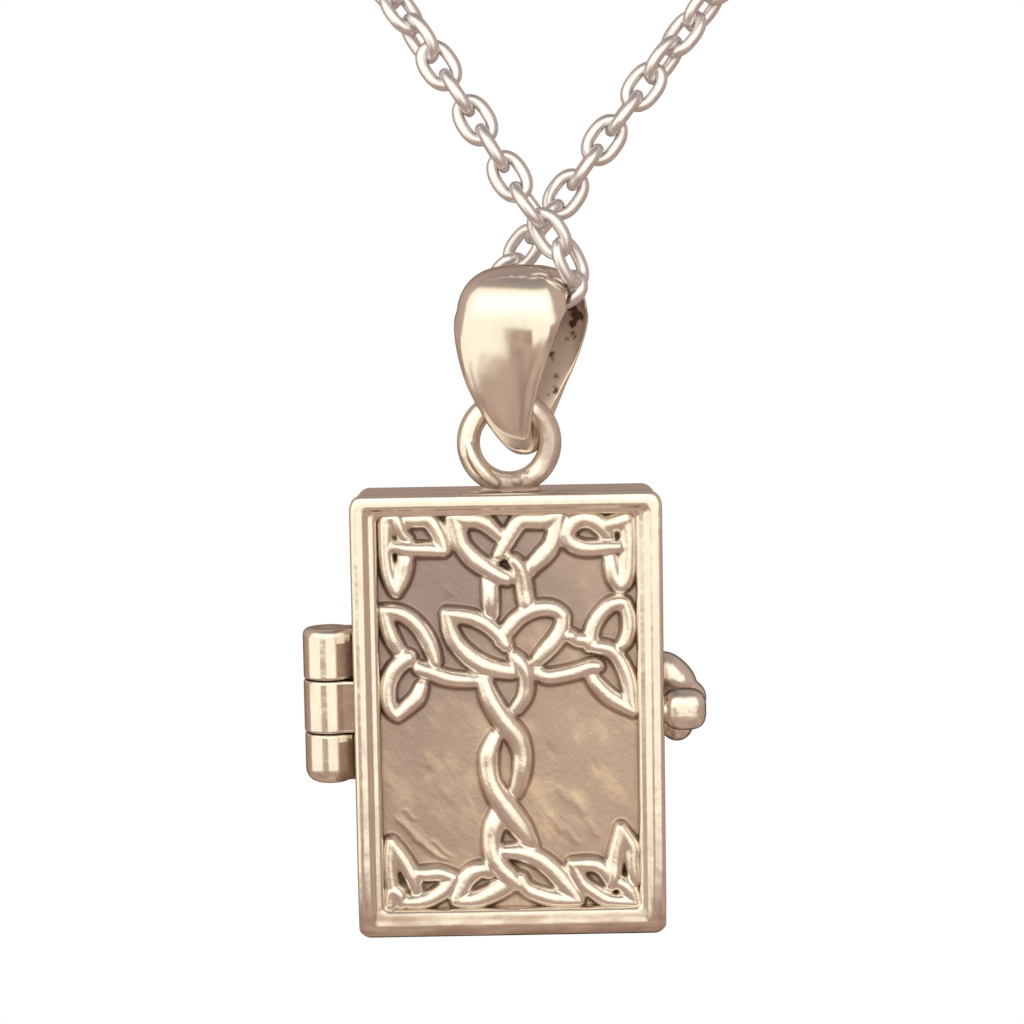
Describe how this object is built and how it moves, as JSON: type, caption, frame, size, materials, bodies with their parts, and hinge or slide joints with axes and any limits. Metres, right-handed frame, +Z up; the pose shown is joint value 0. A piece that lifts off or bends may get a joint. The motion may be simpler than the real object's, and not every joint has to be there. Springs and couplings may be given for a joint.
{
  "type": "hinged prayer box pendant with its chain",
  "caption": "Hinged rectangular locket box with a knotwork lid, ring, puffed bail, side hinge and snap clasp, hanging on a fine cable chain.",
  "frame": {"origin": "where the chain rests on the nape of the neck, at the middle of its clasp", "axes": "+Z up the neck, -Y towards the wearer's front, where the box hangs with its lid facing -Y"},
  "size_m": [0.1222, 0.1236, 0.1323],
  "materials": {
    "polished_silver": "tumbled and hand-polished warm silver",
    "oxidised_silver": "cast silver, oxidised in its recesses and brushed back on the raised strands",
    "chain_silver": "bright drawn wire links"
  },
  "bodies": {
    "neck_chain": {"chain": "chain_silver", "chain_clasp": "chain_silver"},
    "bail_loop": {"bail": "polished_silver"},
    "case": {"case_back": "polished_silver", "hinge_pin": "polished_silver"},
    "lid": {"lid_frame": "polished_silver", "knot_panel": "oxidised_silver"}
  },
  "joints": [
    {"name": "bail_swing", "type": "hinge", "parent": "neck_chain", "child": "bail_loop", "pos_m": [0.00085, -0.1199, -0.1028], "axis": [0.9397, -0.342, 0], "range_deg": [-15, 15]},
    {"name": "box_turn", "type": "hinge", "parent": "bail_loop", "child": "case", "pos_m": [0.0002, -0.1199, -0.10825], "axis": [0, 1, 0], "range_deg": [-45, 45]},
    {"name": "lid_open", "type": "hinge", "parent": "case", "child": "lid", "pos_m": [-0.0077, -0.1206, -0.1194], "axis": [0, 0, -1], "range_deg": [0, 165]}
  ]
}
